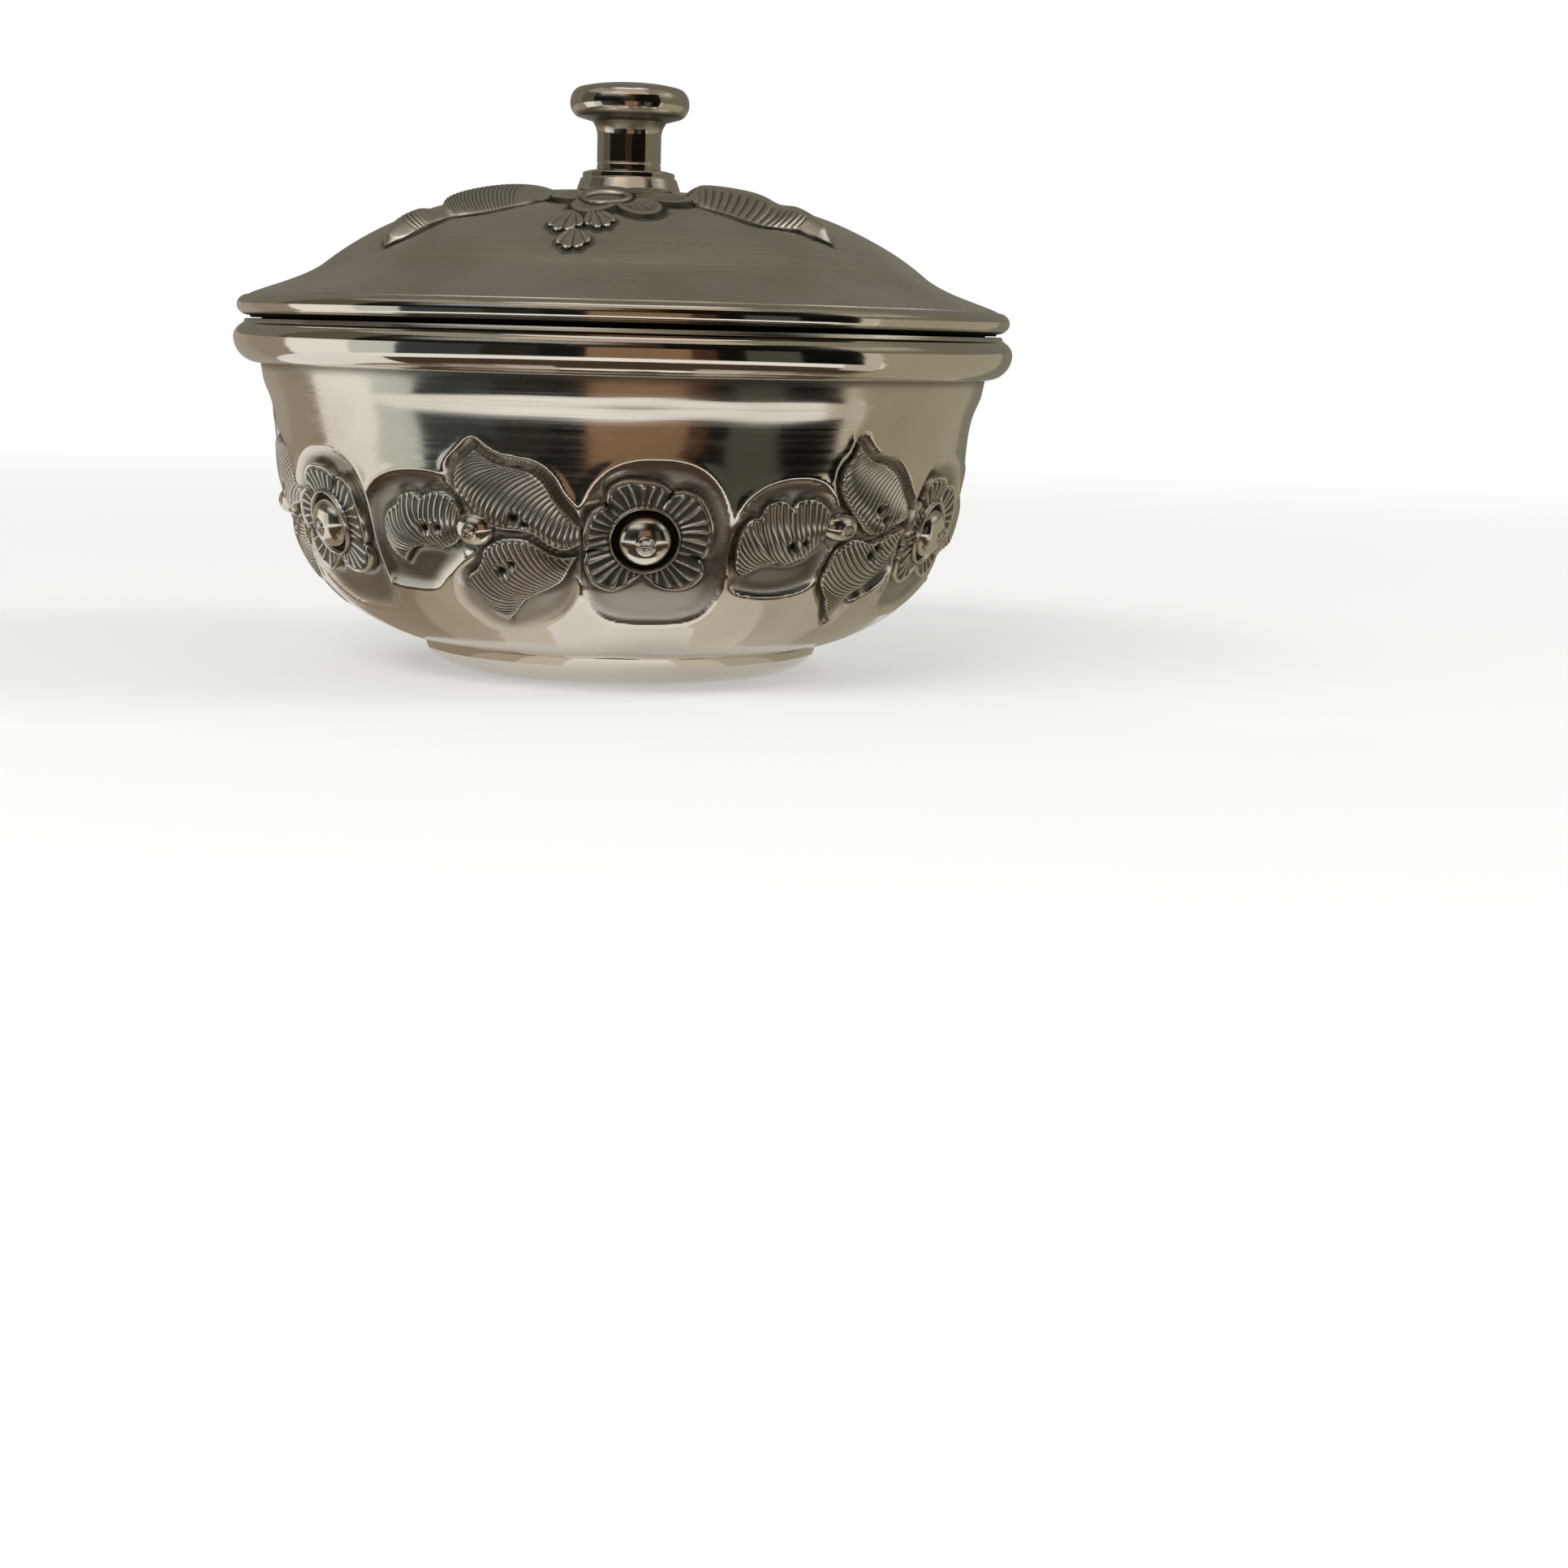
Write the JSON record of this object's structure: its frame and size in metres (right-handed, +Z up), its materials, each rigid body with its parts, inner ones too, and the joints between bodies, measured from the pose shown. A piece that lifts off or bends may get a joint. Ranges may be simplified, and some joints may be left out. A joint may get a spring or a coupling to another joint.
{
  "type": "lidded round box",
  "caption": "Round silver-plated box: a deep footed bowl with a rolled rim and a domed lid that lifts straight off by its turned knob.",
  "frame": {"origin": "centre of the flat land under the foot, on the surface that the box stands on", "axes": "+Z up along the turning axis, through the middle of the knob; -Y towards the viewer of the picture"},
  "size_m": [0.105, 0.105, 0.0785],
  "materials": {
    "silver_plate": "polished silver plate on brass, with darkened recesses",
    "washer_silver": "dull silver plate on brass",
    "screw_brass": "turned brass"
  },
  "bodies": {
    "bowl": {"bowl_shell": "silver_plate", "bowl_rim_moulding": "silver_plate", "foot_ring": "silver_plate", "bowl_flower_1": "silver_plate", "bowl_flower_2": "silver_plate", "bowl_flower_3": "silver_plate", "bowl_flower_4": "silver_plate", "bowl_flower_5": "silver_plate", "bowl_flower_6": "silver_plate", "left_spray_1_side_leaf": "silver_plate", "left_spray_1_upper_leaf": "silver_plate", "left_spray_1_lower_leaf": "silver_plate", "right_spray_1_side_leaf": "silver_plate", "right_spray_1_upper_leaf": "silver_plate", "right_spray_1_lower_leaf": "silver_plate", "left_spray_2_side_leaf": "silver_plate", "left_spray_2_upper_leaf": "silver_plate", "left_spray_2_lower_leaf": "silver_plate", "right_spray_2_side_leaf": "silver_plate", "right_spray_2_upper_leaf": "silver_plate", "right_spray_2_lower_leaf": "silver_plate", "left_spray_3_side_leaf": "silver_plate", "left_spray_3_upper_leaf": "silver_plate", "left_spray_3_lower_leaf": "silver_plate", "right_spray_3_side_leaf": "silver_plate", "right_spray_3_upper_leaf": "silver_plate", "right_spray_3_lower_leaf": "silver_plate"},
    "lid": {"lid_shell": "silver_plate", "lid_rim_moulding": "silver_plate", "lid_locating_ring": "silver_plate", "knob_collar": "silver_plate", "knob_stem": "silver_plate", "knob_head": "silver_plate", "knob_washer": "washer_silver", "knob_screw": "screw_brass", "lid_flower_1": "silver_plate", "lid_left_leaf_1": "silver_plate", "lid_right_leaf_1": "silver_plate", "lid_fans_1": "silver_plate", "lid_flower_2": "silver_plate", "lid_left_leaf_2": "silver_plate", "lid_right_leaf_2": "silver_plate", "lid_fans_2": "silver_plate"}
  },
  "joints": [
    {"name": "lid_lift", "type": "slide", "parent": "bowl", "child": "lid", "axis": [0, 0, 1], "range_m": [0, 0.12]}
  ]
}
